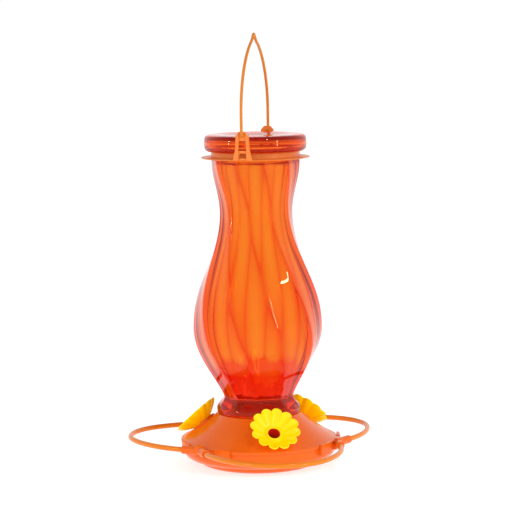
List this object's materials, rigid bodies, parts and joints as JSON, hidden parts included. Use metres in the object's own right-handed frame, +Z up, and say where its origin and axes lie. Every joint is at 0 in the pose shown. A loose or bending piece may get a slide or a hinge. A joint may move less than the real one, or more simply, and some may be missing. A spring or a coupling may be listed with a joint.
{
  "type": "oriole feeder",
  "caption": "Hanging nectar feeder with a twisted glass bottle over a round base, flower ports, wide perch loops and a wire bail.",
  "frame": {"origin": "on the bottle's axis, at the underside of the tray's foot", "axes": "+Z up along the bottle's axis; -Y towards the front flower and its perch"},
  "size_m": [0.1964, 0.1836, 0.3374],
  "materials": {
    "base_plastic": "smooth moulded orange plastic, semi-gloss",
    "perch_plastic": "smooth moulded light orange plastic",
    "flower_plastic": "smooth moulded yellow plastic, semi-gloss",
    "seal_rubber": "soft pale washer",
    "bottle_glass": "clear orange glass, fire polished",
    "collar_plastic": "smooth moulded pale orange plastic",
    "bail_wire": "orange coated steel wire"
  },
  "bodies": {
    "tray": {"tray": "base_plastic", "perch_front": "perch_plastic", "perch_right": "perch_plastic", "perch_left": "perch_plastic"},
    "cover": {"base_cover": "base_plastic", "flower_front": "flower_plastic", "flower_right": "flower_plastic", "flower_left": "flower_plastic"},
    "seal": {"bottle_seal": "seal_rubber"},
    "bottle": {"bottle": "bottle_glass"},
    "collar": {"hanger_collar": "collar_plastic"},
    "bail": {"bail_wire": "bail_wire"}
  },
  "joints": [
    {"name": "cover_lift", "type": "slide", "parent": "tray", "child": "cover", "axis": [0, 0, 1], "range_m": [0, 0.03]},
    {"name": "bottle_rise", "type": "slide", "parent": "cover", "child": "seal", "axis": [0, 0, 1], "range_m": [0, 0.005]},
    {"name": "bottle_turn", "type": "hinge", "parent": "seal", "child": "bottle", "pos_m": [0, 0, 0.0315], "axis": [0, 0, 1], "range_deg": [0, 450]},
    {"name": "collar_swivel", "type": "hinge", "parent": "bottle", "child": "collar", "pos_m": [0, 0, 0.243], "axis": [0, 0, 1], "continuous": true},
    {"name": "bail_swing", "type": "hinge", "parent": "collar", "child": "bail", "pos_m": [0, 0, 0.2601], "axis": [-0.4602, -0.8878, 0], "range_deg": [-150, 150]}
  ],
  "couplings": [
    {"joint": "bottle_rise", "follows": "bottle_turn", "m_per_rad": 0.0006366}
  ]
}
